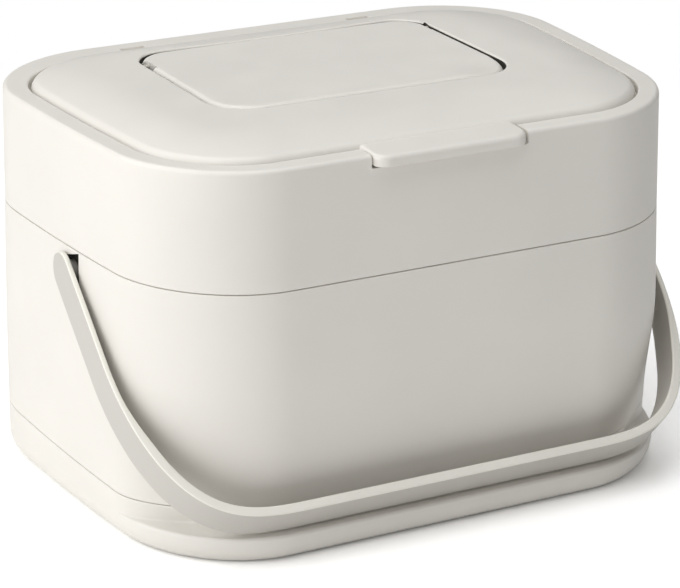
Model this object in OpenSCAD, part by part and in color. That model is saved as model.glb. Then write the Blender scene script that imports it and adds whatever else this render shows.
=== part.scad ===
// Kitchen compost caddy: tapered bucket on a base tray, lift-off rim collar,
// hinged lid with a filter compartment under its own cover, and a swinging strap handle.
// Origin: centre of the plan on the floor. Front is -Y, up is +Z. Millimetres.

/* [Body outline] */
// Width of the body at the seam, halfway along its sides
body_w = 240; // [220:1:260]
// Depth of the body at the seam
body_d = 184; // [172:1:200]
// Radius of the two front corners in plan
front_corner_r = 48; // [40:1:56]
// Radius of the two rear corners in plan
rear_corner_r = 52; // [42:1:60]
// How far each side bows out beyond its ends
side_bow = 4; // [0:0.5:6]
// How much further out each side stands at the rear than halfway along
rear_spread = 6.4; // [0:0.2:8]

/* [Body heights and walls] */
// Height of the seam between bucket and rim collar
seam_z = 107.7; // [104:0.1:116]
// Height of the rim collar's flat top
rim_top_z = 154.5; // [150:0.5:164]
// Height of the side groove between base tray and bucket
base_top_z = 20.8; // [19:0.1:26]
// How much higher the groove stands at the rear than halfway along
base_tilt = 2.8; // [0:0.1:3]
// Height of the front ledge that the handle's bar rests on
ledge_z = 11.5; // [11:0.1:12.5]
// Radius of the edge that turns under at the floor
bottom_edge_r = 8.6; // [6:0.1:9]
// How far the body widens from the seam down to the floor
bottom_flare = 1.7; // [0:0.1:2.4]
// How far the collar draws in from the seam to its top
top_draft = 0.9; // [0:0.1:1.2]
// Thickness of the moulded walls
wall = 2.4; // [2:0.1:2.8]
// Thickness of the floors
floor_t = 2.4; // [2:0.1:3]
// Height of the non-slip pads below the tray
foot_h = 0.8; // [0.6:0.1:1.4]
// Radius of a non-slip pad
foot_r = 8; // [6:0.5:10]
// Depth of the socket that holds a non-slip pad
foot_socket = 1; // [0.6:0.1:1.4]
// Distance of the pads' centres inside the seam outline
foot_inset = 36; // [32:1:44]

/* [Scoop behind the handle bar] */
// Height at which the front begins to draw in
scoop_top_z = 68; // [60:1:80]
// Depth of the scoop at the ledge
scoop_depth = 12; // [10:0.5:13]

/* [Rim collar and lid] */
// Radius of the collar's outer top edge
rim_edge_r = 2.4; // [1.5:0.1:3]
// Distance of the lid's edge inside the seam outline
lid_inset = 11; // [10:0.5:13]
// Extra width of the land behind the lid
rear_land_extra = 3.4; // [1:0.2:6]
// Width of the groove around the lid
groove_w = 1.1; // [0.9:0.1:1.6]
// Width of the ledge that carries the lid
lid_ledge_w = 5; // [4:0.5:6]
// Depth of the lid's edge below the collar's top
lid_edge_h = 3.9; // [3.6:0.1:4.4]
// Height of the lid's edge above the collar's top
lid_rise = 0.9; // [0:0.1:1.2]
// Radius of the lid's edge
lid_edge_r = 3.2; // [2:0.1:3.4]
// Height of the lid's crown above the collar's top
lid_crown = 4.9; // [4.2:0.1:5.6]
// Thickness of the lid's outer skin
lid_skin = 2.4; // [2:0.1:2.6]
// Thickness of the collar's deck under the lid ledge
deck_t = 2.8; // [2.4:0.1:3.4]
// Length of the collar's spigot inside the bucket
spigot_h = 3.6; // [3:0.2:5]
// Half width of the finger tab
tab_half_w = 32.6; // [26:0.2:38]
// Distance of the finger tab's front face beyond the seam outline
tab_reach = 2.4; // [1.6:0.1:3]
// Depth of the tab's lower edge below the collar's top
tab_drop = 4.6; // [4:0.1:4.8]
// Gap beside the finger tab
tab_gap = 0.5; // [0.4:0.1:1]
// Radius of the tab's front corners
tab_corner_r = 6; // [4:0.5:9]

/* [Filter compartment] */
// Half width of the filter cover
cover_half_w = 64; // [56:1:70]
// Front edge of the filter cover
cover_front_y = -33; // [-38:1:-28]
// Rear edge of the filter cover
cover_rear_y = 56; // [50:1:60]
// Radius of the cover's front corners
cover_front_r = 17.6; // [12:0.2:22]
// Radius of the cover's rear corners
cover_rear_r = 14; // [8:0.2:15]
// Distance of the cover's hinge in front of its rear edge
cover_hinge_in = 12; // [10:0.5:12.5]
// Thickness of the filter cover
cover_t = 3; // [2.6:0.1:3.2]
// Radius of the cover's upper edge
cover_edge_r = 2.7; // [1.5:0.1:2.8]
// Gap around the filter cover
cover_gap = 1; // [0.9:0.1:1.4]
// Depth of the notches in the cover's sides at its hinge
cover_notch_in = 2.4; // [2:0.2:3]
// Height of the filter pad
pad_t = 7.2; // [5:0.2:7.6]
// Width of one vent slot
slot_w = 3; // [2:0.5:4]
// Distance from one vent slot to the next
slot_pitch = 8; // [6:0.5:12]

/* [Handle] */
// Height of the handle's pivot
pivot_z = 97.5; // [96:0.1:97.8]
// Distance of the handle's pivot in front of the middle
pivot_front = 8.5; // [7:0.5:12]
// Distance of the resting bar's lower edge behind the seam outline
bar_setback = 2.3; // [1.5:0.1:2.6]
// Width of the strap
strap_w = 16.2; // [13:0.2:16.4]
// Thickness of the strap's arms
strap_t = 2.2; // [2:0.1:2.5]
// Thickness of the strap's bar
bar_t = 3.9; // [3:0.1:4.2]
// Distance of the arms' inner faces from the body's side at the pivot
arm_gap = 1.1; // [1:0.1:2]
// How far the arms lean in from the pivot to the rim
arm_lean = 0.3; // [0:0.1:0.4]
// Reach of the bar's corners, across
bend_rx = 65.5; // [50:0.5:70]
// Reach of the bar's corners, along the arm
bend_rs = 73.5; // [60:0.5:74]
// How square the bar's corners are: 2 is an ellipse
bend_power = 3.6; // [2:0.1:4]
// Radius of a pivot pin
pivot_pin_r = 2.5; // [2:0.1:3]
// Depth of the side pockets that take the strap's ends
pocket_depth = 2.4; // [2:0.1:2.8]
// Gap between the strap's edge and its pocket
pocket_gap = 0.8; // [0.6:0.1:1.2]
// Distance of the pocket's square corner in front of the pivot
pocket_front = 8.6; // [8.2:0.2:12]

/* [Clearances] */
// Gap between pieces that rest on or stand beside each other
fit_gap = 0.3; // [0.2:0.05:0.4]
// Radial clearance of a pin that turns in its bore
run_gap = 0.05; // [0.02:0.01:0.1]
// Radius of the hinge pins of lid and filter cover
hinge_pin_r = 1; // [0.8:0.1:1.1]

/* [Hidden] */

shell_colour = "#ece8e0";
inner_colour = "#dcd7cc";
pad_colour = "#3a3a38";
pin_colour = "#b9b4a8";

quarter = 90;
corner_steps = 10;
side_steps = 6;
bend_steps = 20;
reach = 400;
skim = 0.15;
half_d = body_d / 2;
half_w = body_w / 2;
foot_x = half_w - foot_inset;
foot_y = half_d - foot_inset;

// Lid and collar
lid_bottom_z = rim_top_z - lid_edge_h;
ledge_top_z = lid_bottom_z - fit_gap;
deck_bottom_z = ledge_top_z - deck_t;
lid_top_z = rim_top_z + lid_crown;
liner_top_z = lid_bottom_z + 1.4;
liner_bottom_z = lid_bottom_z - floor_t;
spigot_bottom_z = seam_z - spigot_h;
spigot_out = wall + fit_gap + 0.1;
spigot_in = spigot_out + wall;

// Lid hinge: two lugs reach back from the lid into slots of the land behind it
lid_rear_y = half_d - lid_inset - rear_land_extra;
lid_axis_y = lid_rear_y + 3.4;
lid_knuckle_r = 1.7;
lid_axis_z = rim_top_z - lid_knuckle_r - fit_gap;
lid_pin_x = 52;
lid_lug_half = 5;
lid_pin_grip = 3;

// Filter cover and its compartment
cover_top_z = lid_top_z + 0.2;
cover_bottom_z = cover_top_z - cover_t;
cover_ledge_w = 3;
cover_ledge_z = cover_bottom_z - fit_gap;
cover_boss_r = 2.2;
cover_axis_y = cover_rear_y - cover_hinge_in;
cover_axis_z = cover_top_z - cover_boss_r;
cover_trough_y = cover_axis_y - 5.5;
cover_trough_drop = norm([cover_hinge_in, cover_boss_r]) + 0.6;
cover_notch_drop = 4.2;
cover_notch_out = cover_half_w + cover_gap;
cover_notch_rear = cover_axis_y + cover_boss_r + fit_gap;
cover_notch_front = cover_axis_y - 9;
cover_boss_len = 8;
cover_pin_grip = 2;
well_wall = 1.8;
well_inset = cover_ledge_w + 3;
well_floor_z = liner_top_z - pad_t - floor_t - fit_gap;
well_rear_y = cover_trough_y - well_wall - 0.2;
slot_end = 8;

// Handle
pivot_y = -pivot_front;
arm_inner_x = side_x(pivot_y, 0) + arm_gap;
arm_outer_x = arm_inner_x + strap_t;
pocket_floor_x = side_x(pivot_y, 0) - pocket_depth;
pocket_wall_x = pocket_floor_x - 3.5;
shoulder_r = pivot_pin_r + 2.1;
pocket_top_z = seam_z - 0.5;
pocket_slope = 17;

// The bar rests with its lower edge just above the base's ledge, which sets the arms' length and slope
bar_edge_run = half_d - bar_setback - pivot_front;
bar_edge_drop = pivot_z - ledge_z - 2 * fit_gap;
bar_edge_dist = norm([bar_edge_run, bar_edge_drop]);
handle_len = sqrt(pow(bar_edge_dist, 2) - pow(strap_w / 2, 2));
rest_angle = atan2(bar_edge_drop, bar_edge_run) - asin(strap_w / 2 / bar_edge_dist);
arm_straight = handle_len - bend_rs;

// The strap thickens once it is past the rim of the lid
thicken_start = rim_top_z - pivot_z;
thicken_run = 28;
eye_r = strap_w / 2;
eye_skin = 0.8;

// Height of the collar's front shelf under the finger tab
shelf_z = rim_top_z - tab_drop - 0.6;

// ---- Outlines -------------------------------------------------------------

// One rounded corner as points with their outward normals
function corner_arc(cx, cy, r, start) = [
    for (i = [0:corner_steps])
        let (a = start + quarter * i / corner_steps)
        [cx + r * cos(a), cy + r * sin(a), cos(a), sin(a)]
];

// The straight stretch of a side between two corners, ends left out
function side_run(x, y0, y1, nx) = [
    for (i = [1:side_steps - 1])
        [x, y0 + (y1 - y0) * i / side_steps, nx, 0]
];

// Rounded rectangle, counter-clockwise from the front, as points with normals
function rounded_base(hw, y0, y1, rf, rr) = concat(
    corner_arc(hw - rf, y0 + rf, rf, -90),
    side_run(hw, y0 + rf, y1 - rr, 1),
    corner_arc(hw - rr, y1 - rr, rr, 0),
    corner_arc(rr - hw, y1 - rr, rr, 90),
    side_run(-hw, y1 - rr, y0 + rf, -1),
    corner_arc(rf - hw, y0 + rf, rf, 180)
);

body_base = rounded_base(half_w, -half_d, half_d, front_corner_r, rear_corner_r);
cover_base = rounded_base(cover_half_w, cover_front_y, cover_rear_y, cover_front_r, cover_rear_r);

// Sides bow out in the middle and spread to the rear
function bowed(x, y) =
    x * (1 - side_bow / half_w * pow(y / half_d, 2)) * (1 + rear_spread / half_w * y / half_d);

// Half width of the body at depth y, grown by d
function side_x(y, d) = bowed(half_w + d, y);

function smooth(t) = let (u = min(max(t, 0), 1)) u * u * (3 - 2 * u);

// Share of the scoop at depth y: none on the sides, full across the front
function scoop_share(y) = smooth((front_corner_r - half_d - y) / (front_corner_r * 0.7));

// Depth of the scoop at height z
function scoop_at(z) =
    scoop_depth * pow(min(max((scoop_top_z - z) / (scoop_top_z - ledge_z), 0), 1), 1.4);

// Offset of the outer skin from the seam outline at height z
function skin_offset(z) = z < seam_z
    ? bottom_flare * (1 - pow(z / seam_z, 2))
    : -top_draft * (z - seam_z) / (rim_top_z - seam_z);

// Body outline grown by d and scooped by s at the front
function body_ring(d, s = 0) = [
    for (p = body_base)
        let (o = d - s * scoop_share(p[1]), y = p[1] + p[3] * o)
        [bowed(p[0] + p[2] * o, y), y]
];

// Lid outline grown by d: the body's, drawn in, with a wider land behind
function lid_ring(d) = [
    for (p = body_base)
        let (o = d - lid_inset, y = p[1] + p[3] * o, x = bowed(p[0] + p[2] * o, y))
        [x, y > 0 ? y * (1 - rear_land_extra / (half_d - lid_inset)) : y]
];

// The same outline rising towards the rear, as the groove above the base tray does
function tilted(ring) = [for (p = ring) [p[0], p[1], base_tilt * p[1] / half_d]];

function cover_ring(d) = [for (p = cover_base) [p[0] + p[2] * d, p[1] + p[3] * d]];

// Inset of a rounded edge of radius r at depth t below its top
function edge_inset(r, t) = r - sqrt(r * r - pow(r - min(max(t, 0), r), 2));

// ---- Building blocks ------------------------------------------------------

// Solid through a stack of outlines with equal point counts
module loft(heights, rings) {
    n = len(rings[0]);
    last = len(rings) - 1;
    points = [
        for (k = [0:last]) for (p = rings[k])
            [p[0], p[1], heights[k] + (len(p) > 2 ? p[2] : 0)]
    ];
    lower = [for (i = [0:n - 1]) i];
    upper = [for (i = [n - 1:-1:0]) last * n + i];
    sides = [
        for (k = [0:last - 1]) for (i = [0:n - 1])
            let (j = (i + 1) % n, a = k * n, b = a + n)
            each [[a + i, b + i, b + j], [a + i, b + j, a + j]]
    ];
    polyhedron(points = points, faces = concat([lower, upper], sides), convexity = 6);
}

// Straight prism over an outline from z0 to z1
module prism(ring, z0, z1) {
    translate([0, 0, z0]) linear_extrude(z1 - z0) polygon(ring);
}

// Block given by its two corners
module block(low, high) {
    translate(low) cube(high - low);
}

// Round bar along X from x0 to x1
module bar_x(r, x0, x1, y, z) {
    translate([x0, y, z]) rotate([0, 90, 0]) cylinder(r = r, h = x1 - x0, $fn = 48);
}

// The same shape on both sides of the body
module both_sides() {
    children();
    mirror([1, 0, 0]) children();
}

// ---- Base tray and feet ---------------------------------------------------

module base_tray() {
    round_z = [foot_h, 1.8, 3.2, 5, bottom_edge_r];
    round_rings = [for (z = round_z) body_ring(skin_offset(z) - edge_inset(bottom_edge_r, z))];
    top_z = [ledge_z, ledge_z + fit_gap, base_top_z];
    top_rings = [
        body_ring(skin_offset(ledge_z)),
        body_ring(skin_offset(ledge_z), scoop_at(ledge_z)),
        tilted(body_ring(skin_offset(base_top_z), scoop_at(base_top_z)))
    ];
    color(shell_colour)
    difference() {
        loft(concat(round_z, top_z), concat(round_rings, top_rings));
        prism(nest_ring(fit_gap), foot_h + floor_t, base_top_z + base_tilt + 1);
        for (x = [-foot_x, foot_x]) for (y = [-foot_y, foot_y])
            translate([x, y, 0]) cylinder(r = foot_r, h = foot_h + foot_socket, $fn = 64);
    }
}

// Outline of the bucket's foot inside the base tray, grown by d
function nest_ring(d) = body_ring(d - wall - fit_gap, scoop_at(ledge_z));

module foot(x, y) {
    color(pad_colour) translate([x, y, 0]) cylinder(r = foot_r, h = foot_h + foot_socket, $fn = 64);
}

module foot_front_left() { foot(-foot_x, -foot_y); }
module foot_front_right() { foot(foot_x, -foot_y); }
module foot_rear_left() { foot(-foot_x, foot_y); }
module foot_rear_right() { foot(foot_x, foot_y); }

// ---- Bucket ---------------------------------------------------------------

// Heights at which the bucket's skin changes its outline
bucket_bottom_z = foot_h + floor_t + fit_gap;
skin_low_z = base_top_z + fit_gap;
skin_steps = 7;
function skin_heights(z0) = concat(
    [for (i = [0:skin_steps]) z0 + (scoop_top_z - z0) * i / skin_steps],
    [(scoop_top_z + seam_z) / 2]
);

// The skin's outlines at those heights, the lowest one tilted with the groove
function skin_rings(heights, d) = [
    for (k = [0:len(heights) - 1])
        let (z = heights[k], ring = body_ring(skin_offset(z) + d, scoop_at(z)))
        k == 0 ? tilted(ring) : ring
];

module bucket_outside() {
    heights = concat(skin_heights(skin_low_z), [seam_z]);
    loft(
        concat([bucket_bottom_z, skin_low_z - skim], heights),
        concat([nest_ring(0), tilted(nest_ring(0))], skin_rings(heights, 0))
    );
}

module bucket_cavity() {
    step_z = skin_low_z + wall;
    heights = concat(skin_heights(step_z + 1), [seam_z + 1]);
    loft(
        concat([bucket_bottom_z + floor_t, step_z], heights),
        concat([nest_ring(-wall), tilted(nest_ring(-wall))], skin_rings(heights, -wall))
    );
}

// Pocket around the strap's end, with its square upper front corner under a sloping roof, grown by d
pocket_skin = 1.2;
module handle_pocket(d, x0, x1) {
    front_y = pivot_y - pocket_front - d;
    rear_y = pivot_y + 2 * eye_r;
    roof_z = pocket_top_z + d;
    intersection() {
        union() {
            bar_x(eye_r + pocket_gap + d, x0, x1, pivot_y, pivot_z);
            block([x0, front_y, pivot_z], [x1, pivot_y, seam_z]);
        }
        translate([x0, 0, 0]) rotate([90, 0, 90]) linear_extrude(x1 - x0) polygon([
            [front_y - eye_r, 0],
            [rear_y, 0],
            [rear_y, roof_z - (rear_y - front_y) * tan(pocket_slope)],
            [front_y, roof_z],
            [front_y - eye_r, roof_z]
        ]);
    }
}

module bucket() {
    color(shell_colour)
    difference() {
        bucket_outside();
        difference() {
            bucket_cavity();
            both_sides() intersection() {
                handle_pocket(pocket_skin, pocket_wall_x, reach / 2);
                block([0, -reach, 0], [reach, reach, seam_z]);
            }
        }
        both_sides() handle_pocket(0, pocket_floor_x, reach / 2);
        both_sides() bar_x(pivot_pin_r, pocket_wall_x - 1, pocket_floor_x + 1, pivot_y, pivot_z);
    }
}

// ---- Handle and its pivots ------------------------------------------------

// Half width of the strap's outer face at distance s from the pivot, before its bend
function arm_x(s) = arm_outer_x - arm_lean * min(max((s - eye_r) / (thicken_start - eye_r), 0), 1);

// Thickness of the strap at distance s from the pivot
function strap_thickness(s) = strap_t + (bar_t - strap_t) * smooth((s - thicken_start) / thicken_run);

// Half of the strap's outer edge, from the pivot end to where the bar is straight
arm_steps = 3;
strap_edge = concat(
    [[arm_outer_x, -arm_straight / 2]],
    [for (i = [0:arm_steps]) let (s = eye_r + (arm_straight - eye_r) * i / arm_steps) [arm_x(s), s]],
    [
        for (i = [1:bend_steps])
            let (a = quarter * pow(i / bend_steps, 1.4))
            let (s = arm_straight + bend_rs * sin(a))
            [arm_x(s) - bend_rx * (1 - pow(abs(cos(a)), 2 / bend_power)), s]
    ]
);
edge_last = len(strap_edge) - 1;

// The strap's outer edge at its i-th point, moved inwards by the share k of its thickness
function strap_point(i, k) =
    let (
        p = strap_edge[i],
        along = strap_edge[min(i + 1, edge_last)] - strap_edge[max(i - 1, 0)],
        run = i == edge_last ? [-1, 0] : along / norm(along)
    )
    p + k * strap_thickness(p[1]) * [-run[1], run[0]];

function strap_half(k) = [for (i = [0:edge_last]) strap_point(i, k)];

function mirrored(points) = [for (i = [len(points) - 1:-1:0]) [-points[i][0], points[i][1]]];

// Everything of the handle in its resting place
module at_handle() {
    translate([0, pivot_y, pivot_z]) rotate([rest_angle, 0, 0]) children();
}

module handle() {
    color(shell_colour)
    difference() {
        intersection() {
            at_handle() translate([0, 0, -strap_w / 2]) mirror([0, 1, 0]) linear_extrude(strap_w)
                polygon(concat(strap_half(0), mirrored(strap_half(0)), strap_half_inner()));
            strap_run_full();
        }
        both_sides() bar_x(
            pivot_pin_r + run_gap, arm_inner_x - 1, arm_outer_x - eye_skin + run_gap, pivot_y, pivot_z
        );
    }
}

// Inner edge of the strap, from the left pivot end back to the right one
function strap_half_inner() = concat(reversed(mirrored(strap_half(1))), reversed(strap_half(1)));
function reversed(points) = [for (i = [len(points) - 1:-1:0]) points[i]];

// Keeps the strap's ends round about the pivot
module strap_run_full() {
    half = strap_w / 2;
    at_handle() union() {
        translate([-reach / 2, 0, 0]) rotate([0, 90, 0]) cylinder(r = half, h = reach, $fn = 64);
        translate([-reach / 2, -handle_len - 5, -half - 1]) cube([reach, handle_len + 5, strap_w + 2]);
    }
}

// Pin pressed into the bucket's pad, with a head inside and a shoulder that carries the strap
module pivot_pin() {
    color(pin_colour) union() {
        bar_x(pivot_pin_r, pocket_wall_x, arm_outer_x - eye_skin, pivot_y, pivot_z);
        bar_x(pivot_pin_r + 1.6, pocket_wall_x - 1.4, pocket_wall_x, pivot_y, pivot_z);
        bar_x(shoulder_r, pocket_floor_x, arm_inner_x - run_gap, pivot_y, pivot_z);
    }
}

module pivot_pin_left() { mirror([1, 0, 0]) pivot_pin(); }
module pivot_pin_right() { pivot_pin(); }

// ---- Rim collar -----------------------------------------------------------

module rim_outside() {
    rise = [seam_z + fit_gap, (seam_z + rim_top_z) / 2, rim_top_z - rim_edge_r];
    edge = [for (t = [0.55, 0.22, 0.06, 0]) rim_top_z - t * rim_edge_r];
    heights = concat(rise, edge);
    loft(heights, [
        for (z = heights) body_ring(skin_offset(z) - edge_inset(rim_edge_r, rim_top_z - z))
    ]);
}

module rim_hollow() {
    difference() {
        prism(body_ring(-wall - top_draft), seam_z + 3, deck_bottom_z);
        block([-tab_half_w - 5, -half_d, shelf_z - deck_t], [tab_half_w + 5, -half_d + 20, rim_top_z]);
    }
    prism(body_ring(-spigot_in), spigot_bottom_z - 1, seam_z + 4);
}

module rim_collar() {
    color(shell_colour)
    difference() {
        union() {
            rim_outside();
            prism(body_ring(-spigot_out), spigot_bottom_z, seam_z + 1);
        }
        rim_hollow();
        prism(lid_ring(groove_w), ledge_top_z, rim_top_z + 1);
        prism(lid_ring(-lid_ledge_w), seam_z, ledge_top_z + 1);
        block(
            [-tab_half_w - tab_gap, -reach, shelf_z],
            [tab_half_w + tab_gap, -half_d + lid_inset + 1, rim_top_z + 1]
        );
        both_sides() lug_slot();
        both_sides() lid_pin_bar(hinge_pin_r);
        both_sides() block(
            [pocket_wall_x - 3, pivot_y - strap_w - 3, spigot_bottom_z - 1],
            [reach, pivot_y + strap_w + 3, seam_z]
        );
    }
}

// Slot in the land behind the lid for one of its lugs
module lug_slot() {
    block(
        [lid_pin_x - lid_lug_half - fit_gap, lid_rear_y, lid_axis_z - lid_knuckle_r - fit_gap],
        [lid_pin_x + lid_lug_half + fit_gap, lid_axis_y + lid_knuckle_r + fit_gap, rim_top_z + 1]
    );
}

// Lug on the lid's rear edge, rounded about the hinge's axis
module lid_lug() {
    x0 = lid_pin_x - lid_lug_half;
    x1 = lid_pin_x + lid_lug_half;
    bar_x(lid_knuckle_r, x0, x1, lid_axis_y, lid_axis_z);
    block([x0, lid_rear_y - lid_skin + 0.4, lid_bottom_z], [x1, lid_axis_y, lid_axis_z + 1.6]);
}

// Round bar along the lid's hinge, as far as one pin reaches
module lid_pin_bar(r) {
    half = lid_lug_half + fit_gap + lid_pin_grip;
    bar_x(r, lid_pin_x - half, lid_pin_x + half, lid_axis_y, lid_axis_z);
}

module lid_pin() {
    color(pin_colour) lid_pin_bar(hinge_pin_r);
}

module lid_pin_left() { mirror([1, 0, 0]) lid_pin(); }
module lid_pin_right() { lid_pin(); }

// ---- Lid ------------------------------------------------------------------

// The dome rises over this inset from the lid's edge, short of its corners' centres
dome_run = front_corner_r - lid_inset - 5;
dome_steps = 4;

// Height of the lid's domed top at inset d from its edge
function dome_z(d) = rim_top_z + lid_rise + (lid_crown - lid_rise) * (1 - pow(1 - min(d / dome_run, 1), 2.2));

// Insets of the dome's outlines, starting at d0
function dome_insets(d0) = [for (i = [0:dome_steps]) d0 + (dome_run - d0) * i / dome_steps];

module lid_outside() {
    edge = [for (share = [0, 0.08, 0.34, 0.66]) share * lid_edge_r];
    dome = dome_insets(lid_edge_r);
    heights = concat(
        [lid_bottom_z],
        [for (d = edge) dome_z(d) - edge_inset(lid_edge_r, d)],
        [for (d = dome) dome_z(d)]
    );
    loft(heights, [for (d = concat([0], edge, dome)) lid_ring(-d)]);
}

module lid_hollow() {
    dome = dome_insets(lid_skin);
    loft(
        concat([lid_bottom_z - 1], [for (d = dome) dome_z(d) - lid_skin - 0.2]),
        concat([lid_ring(-lid_skin)], [for (d = dome) lid_ring(-d)])
    );
}

// Finger tab: a flat lip that runs over the collar's front and stands a little proud of it
module finger_tab() {
    face_y = -half_d - tab_reach;
    low_z = rim_top_z - tab_drop;
    root_y = -half_d + lid_inset + 2;
    profile = [
        [root_y, lid_bottom_z], [root_y, rim_top_z + 0.6], [face_y + 7, rim_top_z], [face_y + 2.2, rim_top_z - 0.5],
        [face_y + 0.7, rim_top_z - 1.1], [face_y, rim_top_z - 2], [face_y, low_z + 0.5], [face_y + 0.5, low_z],
        [face_y + 3.4, low_z], [face_y + 4.4, lid_bottom_z]
    ];
    intersection() {
        translate([-tab_half_w - 1, 0, 0]) rotate([90, 0, 90])
            linear_extrude(2 * tab_half_w + 2) polygon(profile);
        prism(tab_plan(face_y, root_y + 1), 0, reach / 2);
    }
}

// Plan of the finger tab with rounded front corners
function tab_plan(face_y, root_y) = let (r = tab_corner_r) concat(
    [for (i = [0:6]) [tab_half_w - r + r * sin(15 * i), face_y + r - r * cos(15 * i)]],
    [[tab_half_w, root_y], [-tab_half_w, root_y]],
    [for (i = [6:-1:0]) [-tab_half_w + r - r * sin(15 * i), face_y + r - r * cos(15 * i)]]
);

module lid_shell() {
    color(shell_colour)
    difference() {
        union() {
            difference() {
                lid_outside();
                difference() {
                    lid_hollow();
                    prism(cover_ring(cover_gap + wall), liner_top_z, reach / 2);
                    both_sides() block(
                        [cover_half_w, cover_notch_front - wall, liner_top_z],
                        [cover_notch_out + 2 * cover_pin_grip, cover_notch_rear + wall, reach / 2]
                    );
                }
                prism(cover_ring(cover_gap), cover_ledge_z, reach / 2);
                prism(cover_ring(-cover_ledge_w), 0, reach / 2);
                cover_trough(0, 0, reach / 2);
                both_sides() block(
                    [cover_notch_out - 2 * cover_boss_len, cover_notch_front, cover_axis_z - cover_notch_drop],
                    [cover_notch_out, cover_notch_rear, reach]
                );
            }
            finger_tab();
            both_sides() lid_lug();
        }
        both_sides() lid_pin_bar(hinge_pin_r + run_gap);
        both_sides() cover_pin_bar(hinge_pin_r, cover_notch_out - 1);
    }
}

// Space under the filter cover's rear end, which swings down as the cover opens, grown by d
module cover_trough(d, z0, z1) {
    intersection() {
        prism(cover_ring(cover_gap + d), z0, z1);
        block([-reach, cover_trough_y - d, 0], [reach, reach, reach]);
    }
}

// Round bar along the filter cover's hinge, from x0 out into the lid
module cover_pin_bar(r, x0) {
    bar_x(r, x0, cover_notch_out + cover_pin_grip, cover_axis_y, cover_axis_z);
}

// Underside of the lid, with the slotted well for the filter
module lid_liner() {
    trough_floor_z = cover_axis_z - cover_trough_drop;
    well_y0 = cover_front_y + well_inset;
    well_x = cover_half_w - well_inset;
    slots = floor((well_x - slot_pitch / 2) / slot_pitch);
    color(inner_colour)
    difference() {
        union() {
            prism(lid_ring(-lid_ledge_w - groove_w), liner_bottom_z, lid_bottom_z);
            prism(lid_ring(-lid_skin - fit_gap), lid_bottom_z, liner_top_z);
            block(
                [-well_x - well_wall, well_y0 - well_wall, well_floor_z],
                [well_x + well_wall, well_rear_y + well_wall, liner_top_z]
            );
            cover_trough(well_wall, trough_floor_z - well_wall, liner_top_z);
        }
        cover_trough(0, trough_floor_z, reach / 2);
        block([-well_x, well_y0, well_floor_z + floor_t], [well_x, well_rear_y, liner_top_z + 1]);
        for (i = [-slots:slots])
            block(
                [i * slot_pitch - slot_w / 2, well_y0 + slot_end, 0],
                [i * slot_pitch + slot_w / 2, well_rear_y - slot_end, reach]
            );
    }
}

module filter_pad() {
    well_y0 = cover_front_y + well_inset;
    well_x = cover_half_w - well_inset;
    color(pad_colour) block(
        [-well_x + fit_gap, well_y0 + fit_gap, well_floor_z + floor_t],
        [well_x - fit_gap, well_rear_y - fit_gap, well_floor_z + floor_t + pad_t]
    );
}

// ---- Filter cover ---------------------------------------------------------

module filter_cover() {
    edge_r = min(cover_edge_r, cover_t - 0.2);
    heights = concat([cover_bottom_z], [for (t = [1, 0.55, 0.22, 0.06, 0]) cover_top_z - t * edge_r]);
    inner_x = cover_half_w - cover_boss_len - 2;
    color(shell_colour)
    difference() {
        union() {
            loft(heights, [for (z = heights) cover_ring(-edge_inset(edge_r, cover_top_z - z))]);
            both_sides() bar_x(
                cover_boss_r - 0.2, inner_x, cover_half_w - 1, cover_axis_y, cover_axis_z
            );
        }
        both_sides() block(
            [cover_half_w - cover_notch_in, cover_notch_front, 0],
            [reach, cover_notch_rear, reach]
        );
        both_sides() bar_x(hinge_pin_r + run_gap, inner_x + 2, cover_half_w + 1, cover_axis_y, cover_axis_z);
    }
}

module cover_pin() {
    color(pin_colour) cover_pin_bar(hinge_pin_r, cover_half_w - cover_boss_len + 0.5);
}

module cover_pin_left() { mirror([1, 0, 0]) cover_pin(); }
module cover_pin_right() { cover_pin(); }

bucket();
base_tray();
foot_front_left();
foot_front_right();
foot_rear_left();
foot_rear_right();
rim_collar();
lid_shell();
lid_liner();
filter_pad();
filter_cover();
lid_pin_left();
lid_pin_right();
cover_pin_left();
cover_pin_right();
handle();
pivot_pin_left();
pivot_pin_right();
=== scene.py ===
import math

import bmesh
import bpy
import numpy as np
from mathutils import Matrix, Vector


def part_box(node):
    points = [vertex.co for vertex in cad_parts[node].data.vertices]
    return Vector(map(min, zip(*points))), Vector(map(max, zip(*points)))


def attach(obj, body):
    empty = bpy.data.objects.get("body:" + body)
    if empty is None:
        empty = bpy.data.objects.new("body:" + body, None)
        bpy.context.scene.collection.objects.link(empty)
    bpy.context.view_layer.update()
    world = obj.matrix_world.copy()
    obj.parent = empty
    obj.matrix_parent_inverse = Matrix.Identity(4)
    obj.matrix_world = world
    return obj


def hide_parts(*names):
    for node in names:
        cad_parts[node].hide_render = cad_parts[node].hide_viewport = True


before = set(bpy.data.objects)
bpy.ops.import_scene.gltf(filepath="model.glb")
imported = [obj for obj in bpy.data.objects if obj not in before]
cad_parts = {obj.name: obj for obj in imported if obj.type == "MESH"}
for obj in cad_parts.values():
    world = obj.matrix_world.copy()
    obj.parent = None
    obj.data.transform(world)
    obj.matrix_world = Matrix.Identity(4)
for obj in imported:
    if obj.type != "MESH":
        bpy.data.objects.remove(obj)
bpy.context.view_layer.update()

# ---- Sizes, in millimetres, the same as the model's own ---------------------------------

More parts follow.
